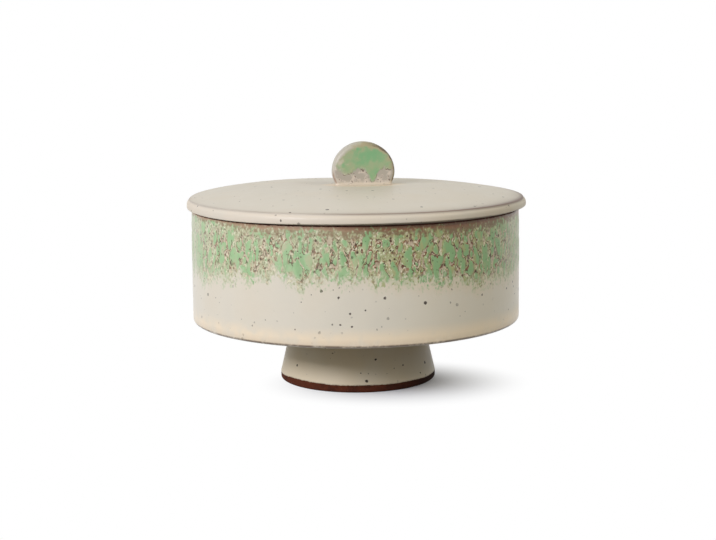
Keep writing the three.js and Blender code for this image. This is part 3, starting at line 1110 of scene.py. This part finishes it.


# %% [markdown]
# ## The wash with painted shade, the bare rim and the heel line
# Under the rim the glaze ran thin: a pale brown wash with some pink, and darker brown with rust where iron
# is rich. Its darkening towards the rim is in part painted shade under the lid's overhang. The rim's top,
# where the lid sits, is bare. A thin dark brown line runs round the heel. These follow the fields, and
# finer noise roughens their edges.

# %% The bowl's material
WASH = colour(122, 94, 66)
WASH_PALE = colour(152, 130, 100)
HEEL_LINE_BROWN = colour(104, 82, 66)
BARE_RIM = (0.3, 0.1)
BOWL_ROUGHNESS = (0.29, 0.37)
ISLAND_BUMP = 0.03


def rim_wash_and_shade(tree, band):
    """Pale brown and pink, brown where iron is rich, and rust and dark brown towards the rim, partly
    painted shade.
    """
    ferrous = step(tree, band.rich, 0.25, 0.55)
    return coats(
        tree,
        WASH_PALE,
        (PINK, step(tree, band.wash, 0.85, 0.5, 0.45)),
        (WASH, ferrous),
        (RUST, step(tree, band.wash, 0.8, 0.3, 0.8), ferrous),
        (RUST, step(tree, band.wash, 0.8, 0.1, 0.6)),
        (BROWN, step(tree, band.wash, 0.6, 0.15, 0.5), ferrous),
    )


def bowl_glaze():
    """The wall, the band over it, the wash over both, then bare clay on the rim and the heel's dark line.
    """
    material, tree, shader = new_material("cream glaze with mottled green band")
    band = band_inputs(tree)
    band_masks(tree, band)
    depth = weigh(tree, (band.wash, 1.0), (band.patch, 0.2), (band.spot, 0.35), (band.fine, 0.3))
    bare = step(tree, weigh(tree, (band.below_rim, 1.0), (band.fine, 0.1)), *BARE_RIM)
    heel_line_mask = step(tree, weigh(tree, (band.patch, 1.0), (band.fine, 0.5)), -3.6, 1.0, 0.95)
    base = coats(
        tree,
        wall_below(tree, band),
        (band_mottle(tree, band), band.body),
        (rim_wash_and_shade(tree, band), step(tree, depth, 1.7, 0.4, 0.9)),
        (CLAY_LIGHT, bare),
        (HEEL_LINE_BROWN, band.thin_edge, heel_line_mask),
    )
    raised = overlap(tree, band.body, band.island)
    rough = rough_drift(tree, band.vector, *BOWL_ROUGHNESS)
    rough = weigh(tree, (rough, 1.0), (raised, 0.1), (bare, 0.5))
    glaze_surface(tree, shader, band.vector, base, rough, raised, ISLAND_BUMP)
    return material


dress(bowl, bowl_glaze())

# %% [markdown]
# ## The lid's glaze
# The lid is cream with fewer specks, warmer on its edge, with painted shade that darkens the edge towards
# the right, and a warm collar round the knob. The crease's dark line with its painted shade, and the bare
# seat, come from the lid's fields. Edge and collar are simple places, so the height over the table and an
# oval round the knob find them without a field.

# %% The lid's material
CREAM_LID = colour(220, 212, 195)
EDGE_CREAM = colour(225, 213, 193)
# Painted shade: the lid's edge darkens towards the right, between the two distances below.
EDGE_SHADE = colour(188, 176, 150)
COLLAR = colour(238, 220, 190)
CREASE_LINE_AND_SHADE = colour(120, 98, 84)
LID_LARGE_SHARE = 0.25
EDGE_SHADE_FROM = 15.0
EDGE_SHADE_FULL = 68.0
EDGE_BLEND = 0.9
# The collar's oval. Its third radius is so long that height doesn't count.
COLLAR_RADII = np.array((18.5, 9.5, 1000.0))
LID_ROUGHNESS = (0.44, 0.54)
SPECK_PIT = -0.03


def lid_glaze():
    """Cream with a warmer edge and collar, the crease's dark line, painted shade by the crease and on the
    edge's right, and a bare seat.
    """
    material, tree, shader = new_material("cream glaze of the lid")
    vector = place(tree)
    # Painted shade: the edge turns darker towards the right.
    to_right = step(tree, along(tree, vector, "X"), EDGE_SHADE_FROM * MM, EDGE_SHADE_FULL * MM, 0.45)
    on_edge = step(tree, along(tree, vector, "Z"), crease_height * MM, (crease_height - EDGE_BLEND) * MM)
    main = coats(tree, CREAM_LID, (coats(tree, EDGE_CREAM, (EDGE_SHADE, to_right)), on_edge))
    from_knob = oval_distance(tree, vector, knob_place * MM, COLLAR_RADII * MM)
    seat = field(tree, "bare")
    base = coats(
        tree,
        cream_ground(tree, vector, main, LID_LARGE_SHARE),
        (COLLAR, step(tree, from_knob, 1.1, 0.75, 0.8)),
        # The crease's dark line, with its painted shade.
        (CREASE_LINE_AND_SHADE, field(tree, "thin_edge")),
        (bare_clay(tree, vector), seat),
    )
    rough = weigh(tree, (rough_drift(tree, vector, *LID_ROUGHNESS), 1.0), (seat, 0.35))
    large = specks(tree, vector, *LARGE_SPECK, LID_LARGE_SHARE)
    glaze_surface(tree, shader, vector, base, rough, large, SPECK_PIT)
    return material


dress(lid_plate, lid_glaze())

# %% [markdown]
# ## The foot's glaze
# The foot is cream above the wiped line and bare clay below it, with a thin brown seam where the glaze
# ends. The bare band is painted darker towards the right, as painted shade. Two materials on one mesh
# would meet in a jagged line of faces, so one material mixes both by the height over the line.

# %% The foot's material
CREAM_FOOT = colour(218, 204, 175)
# Painted shade: the bare band darkens towards the right, between the two distances below.
CLAY_PAINTED_SHADE = colour(34, 20, 14)
PAINTED_SHADE_FROM = 10.0
PAINTED_SHADE_FULL = 32.0
# Heights over the wiped line, in millimetres, between which the seam and the bare clay begin and are full.
SEAM_HEIGHTS = (0.5, 0.1)
BARE_HEIGHTS = (0.08, -0.08)
BARE_STEP = -0.15
FOOT_ROUGHNESS = (0.36, 0.46)
FOOT_GLOSS = 0.2


def foot_glaze():
    """Cream above the wiped line and bare clay below it, with a thin brown seam where the glaze ends."""
    material, tree, shader = new_material("cream glaze of the foot")
    vector = place(tree)
    height = weigh(tree, (field(tree, "over_glaze_line"), 1.0), (noise(tree, vector, 1.0), 0.06))
    bare = step(tree, height, *BARE_HEIGHTS)
    # Painted shade on the bare band's right side.
    painted_shade_right = step(tree, along(tree, vector, "X"), PAINTED_SHADE_FROM * MM, PAINTED_SHADE_FULL * MM, 0.9)
    base = coats(
        tree,
        cream_ground(tree, vector, CREAM_FOOT),
        (WASH, step(tree, height, *SEAM_HEIGHTS, 0.4)),
        (coats(tree, bare_clay(tree, vector), (CLAY_PAINTED_SHADE, painted_shade_right)), bare),
    )
    rough = weigh(tree, (rough_drift(tree, vector, *FOOT_ROUGHNESS), 1.0), (bare, 0.6))
    glaze_surface(tree, shader, vector, base, rough, bare, BARE_STEP)
    shader.inputs["Specular IOR Level"].default_value = FOOT_GLOSS
    return material


dress(foot, foot_glaze())

# %% [markdown]
# ## The knob's glaze
# The knob's green is deepest a little right of the middle and turns to sage and olive towards the rim.
# Below the drips the glaze is grey and pink, and cream at the root. The rim breaks to tan or lilac, with
# brown on the bends of its right side, which is partly painted shade, and some rust low on the left. These
# are coats as on the bowl, led by the knob's own fields.

# %% The knob's material
GREEN_KNOB = colour(122, 168, 120)
SAGE = colour(152, 168, 128)
OLIVE = colour(160, 164, 126)
MAUVE = colour(170, 161, 147)
BLUSH = colour(204, 192, 177)
LILAC = colour(188, 181, 166)
TAN = colour(172, 160, 126)
ROOT_CREAM = colour(209, 194, 172)
KNOB_FIELDS = ("over_drips", "near_rim", "over_lid", "to_right", "to_face")
KNOB_NOISES = (0.8, 2.2, 5.0)
# Heights over the lid, in millimetres, between which rust and root begin and are full.
RUST_HEIGHTS = (7.0, 4.0)
ROOT_HEIGHTS = (2.2, 0.6)
KNOB_ROUGHNESS = (0.36, 0.46)
GREEN_BUMP = 0.1


def knob_glaze():
    """Green above the drips over grey and pink, cream at the root, and a rim that breaks pale or brown."""
    material, tree, shader = new_material("green glaze of the knob")
    vector = place(tree)
    drip, rim, lift, right, face = (field(tree, name) for name in KNOB_FIELDS)
    fine, patch, broad = (noise(tree, vector, size) for size in KNOB_NOISES)
    thin = weigh(tree, (distance(tree, right, 0.3), 1.6), (patch, 0.35))
    thin_rim = weigh(tree, (thin, 0.7), (patch, 0.25), (rim, 1.8), (fine, 0.3))
    green = coats(
        tree,
        GREEN_KNOB,
        (SAGE, step(tree, weigh(tree, (thin, 1.0), (broad, 0.6)), -0.6, 2.0)),
        (OLIVE, step(tree, thin_rim, 0.6, 2.0, 0.8)),
        (BLUSH, step(tree, weigh(tree, (right, -1.0), (patch, 0.15)), 0.55, 1.05, 0.65)),
    )
    edge = weigh(tree, (drip, 1.0), (fine, 0.3), (patch, 0.4))
    in_green = step(tree, weigh(tree, (edge, 1.0), (rim, -1.2)), -1.2, 1.0)
    seam = overlap(tree, step(tree, distance(tree, edge, -0.5), 0.7, 0.2), step(tree, patch, 0.0, 1.0, 0.7))
    to_left = step(tree, weigh(tree, (right, 1.0), (patch, 0.1)), 0.0, -0.5)
    on_rim = step(tree, weigh(tree, (rim, 1.0), (patch, 0.1)), 0.4, 1.0, 0.9)
    bend = step(tree, weigh(tree, (rim, 1.0), (patch, 0.03)), 0.88, 1.0, 0.8)
    bend = overlap(tree, bend, step(tree, weigh(tree, (face, 1.0), (patch, 0.1)), 0.2, 0.6))
    low_left = overlap(tree, step(tree, right, -0.75, -0.95), step(tree, lift, *RUST_HEIGHTS, 0.7))
    base = coats(
        tree,
        MAUVE,
        (BLUSH, step(tree, weigh(tree, (patch, 1.0), (fine, 0.3)), -0.4, 1.2, 0.85)),
        (BROWN, step(tree, weigh(tree, (fine, 1.0), (patch, 0.4)), 1.2, 2.0, 0.7)),
        (green, in_green),
        (BROWN, seam),
        (coats(tree, TAN, (LILAC, to_left)), on_rim),
        # Partly painted shade: the rim's bends are brown on the right side only.
        (BROWN, bend, step(tree, right, -0.1, 0.7)),
        (RUST, bend, low_left),
        (ROOT_CREAM, step(tree, weigh(tree, (lift, 1.0), (patch, 0.3)), *ROOT_HEIGHTS, 0.8)),
    )
    rough = weigh(tree, (rough_drift(tree, vector, *KNOB_ROUGHNESS), 1.0), (in_green, 0.06))
    glaze_surface(tree, shader, vector, base, rough, in_green, GREEN_BUMP)
    return material


dress(knob, knob_glaze())

# %% [markdown]
# ## Putting the pieces on their bodies
# The bowl and its foot are one body of the model, the lid with its ring and knob the other, which lifts
# off. Each surface stands for the CAD piece that it was made from.

# %% Bodies
for piece, node, body, slot in (
    (bowl, "bowl", "dish", "cream_glaze"),
    (foot, "foot", "dish", "cream_glaze"),
    (lid_plate, "lid_plate", "lid", "cream_glaze"),
    (ring, "lid_locating_ring", "lid", "bare_stoneware"),
    (knob, "knob", "lid", "green_glaze"),
):
    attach(piece, body)
    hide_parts(node)
    print(piece.name, "rides on", body)

# %% [markdown]
# ## The floor
# The dish stands on a pale sheet that keeps a soft shadow near the foot and is plain white further off. Lit
# paper alone would be grey where the light falls away, so the sheet fades in an oval from paper to white
# for the camera. To rays that gather light it is a dim grey, so that it doesn't brighten the dish from
# below.

# %% The floor
FLOOR_REACH = 3000.0
FLOOR_GREY = (0.15, 0.15, 0.15, 1.0)
FLOOR_ROUGHNESS = 0.9
PAPER = (0.735, 0.75, 0.8, 1.0)
# The shadow's oval: its middle, its shape, and how far out the paper begins to turn white and is white.
SHADOW_MIDDLE = np.array((15.8, -14.4, 0.0))
SHADOW_RADII = np.array((1.0, 1 / 1.3, 1.0))
SHADOW_NEAR = 8.5
SHADOW_FAR = 60.0


def looking(tree):
    """1 for rays from the camera and for mirrored or bent ones, 0 for rays that gather light."""
    ray = tree.nodes.new("ShaderNodeLightPath")
    total = 0.0
    for kind in ("Is Camera Ray", "Is Glossy Ray", "Is Transmission Ray"):
        total = add(tree, "ShaderNodeMath", {0: ray.outputs[kind], 1: total}, operation="MAXIMUM")
    return total


def blended(tree, mask, first, second):
    """The first shader where the mask is 0, and the second where it is 1."""
    return add(tree, "ShaderNodeMixShader", {0: mask, 1: first, 2: second})


def make_floor():
    """A square sheet under the dish. The camera sees paper near the dish, and white beyond the shadow."""
    corners = FLOOR_REACH * MM * np.array([(-1, -1, 0), (1, -1, 0), (1, 1, 0), (-1, 1, 0)])
    mesh = bpy.data.meshes.new("floor")
    mesh.from_pydata(corners, [], [(0, 1, 2, 3)])
    floor = bpy.data.objects.new("floor", mesh)
    bpy.context.scene.collection.objects.link(floor)
    material, tree, shader = new_material("white sweep")
    shader.inputs["Base Color"].default_value = FLOOR_GREY
    shader.inputs["Roughness"].default_value = FLOOR_ROUGHNESS
    shader.inputs["Specular IOR Level"].default_value = 0.0
    paper = add(tree, "ShaderNodeBsdfDiffuse", {"Color": PAPER})
    white = add(tree, "ShaderNodeEmission", {})
    away = oval_distance(tree, place(tree), SHADOW_MIDDLE * MM, SHADOW_RADII * MM)
    seen = blended(tree, step(tree, away, SHADOW_NEAR, SHADOW_FAR), paper, white)
    surface = blended(tree, looking(tree), shader.outputs[0], seen)
    tree.links.new(surface, tree.nodes["Material Output"].inputs["Surface"])
    mesh.materials.append(material)
    return floor


floor = make_floor()
print(floor.name, "is", 2 * FLOOR_REACH, "mm wide")

# %% [markdown]
# ## The light
# Two soft boxes light the dish: a key lamp from the left, which models the round wall, and a weaker, warmer
# one from the right. A white surround fills the shadows, dimmer at the horizon, on the right and straight
# above. A picture of a studio could light it too, but a few ramps are easier to tune. The camera and
# reflections see plain white.

# %% Surround and lamps
SURROUND = 1.08
SURROUND_LOW = 0.1
SURROUND_TOP = 0.05
SURROUND_LEAN = 0.16
SURROUND_TONE = (1.0, 0.985, 0.93, 1.0)
WHITE = (1.0, 1.0, 1.0, 1.0)
HORIZON = (0.05, 0.4)
OVERHEAD = (0.4, 0.85)
LAMPS_FACE = Vector((0, 0, 0.05))
# A lamp is its place in metres, its width and height, its power in watts and its tone.
LAMPS = {
    "key_soft_box": ((-0.69, -0.74, 0.5), (0.6, 0.2), 7.35, (0.98, 0.99, 1.11)),
    "fill_soft_box": ((0.87, -0.5, 0.78), (0.6, 0.4), 3.3, (1.0, 0.97, 0.86)),
}


def make_surround():
    """A white world, dimmer near the horizon and overhead. Camera and reflections see plain white."""
    world = bpy.data.worlds.new("white surround")
    bpy.context.scene.world = world
    world.use_nodes = True
    tree = world.node_tree
    toward = add(tree, "ShaderNodeTexCoord", {}, "Generated")
    upward = along(tree, toward, "Z")
    tipped = weigh(tree, (upward, 1.0), (along(tree, toward, "X"), -SURROUND_LEAN))
    above_horizon = ramp(tree, tipped, *HORIZON, SURROUND_LOW, SURROUND)
    not_overhead = ramp(tree, upward, *OVERHEAD, 1.0, SURROUND_TOP / SURROUND)
    direct = looking(tree)
    strength = ramp(tree, direct, 0.0, 1.0, overlap(tree, above_horizon, not_overhead), 1.0)
    background = tree.nodes["Background"]
    tree.links.new(strength, background.inputs["Strength"])
    tree.links.new(coats(tree, SURROUND_TONE, (WHITE, direct)), background.inputs["Color"])


def soft_lamp(name, spot, size, power, tone):
    """A soft box at a spot in metres, turned to face the dish."""
    lamp = bpy.data.lights.new(name, "AREA")
    lamp.shape = "RECTANGLE"
    lamp.size, lamp.size_y = size
    lamp.energy = power
    lamp.color = tone
    holder = bpy.data.objects.new(name, lamp)
    bpy.context.scene.collection.objects.link(holder)
    holder.location = spot
    holder.rotation_euler = (Vector(spot) - LAMPS_FACE).to_track_quat("Z", "Y").to_euler()
    print(f"{name}: {Vector(spot).length:.2f} m away, {power} W")


make_surround()
for name, (spot, size, power, tone) in LAMPS.items():
    soft_lamp(name, spot, size, power, tone)

# %% [markdown]
# ## The camera
# The photograph was taken with a long lens, a little above the lid, with the camera turned by half a
# degree. Lens, distance and slope were found by laying the rims' ovals over the picture, which is 716
# pixels wide.

# %% The camera
FRAME_WIDTH = 716
FOCAL_PIXELS = 1413.2
SENSOR = 36.0
LOOK_AT = (0.97, 0.0, 46.52)
CAMERA_DISTANCE = 612.9
LOOK_DOWN = 8.84
ROLL = -0.526

camera_data = bpy.data.cameras.new("camera")
camera_data.sensor_width = SENSOR
camera_data.lens = FOCAL_PIXELS / FRAME_WIDTH * SENSOR
camera = bpy.data.objects.new("camera", camera_data)
bpy.context.scene.collection.objects.link(camera)
aim = Matrix.Rotation(np.radians(90 - LOOK_DOWN), 4, "X") @ Matrix.Rotation(np.radians(ROLL), 4, "Z")
back = Matrix.Translation((0, 0, CAMERA_DISTANCE * MM))
camera.matrix_world = Matrix.Translation(Vector(LOOK_AT) * MM) @ aim @ back
bpy.context.scene.camera = camera
bpy.context.scene.view_settings.view_transform = "Standard"
print("camera at", [round(side / MM) for side in camera.matrix_world.translation])
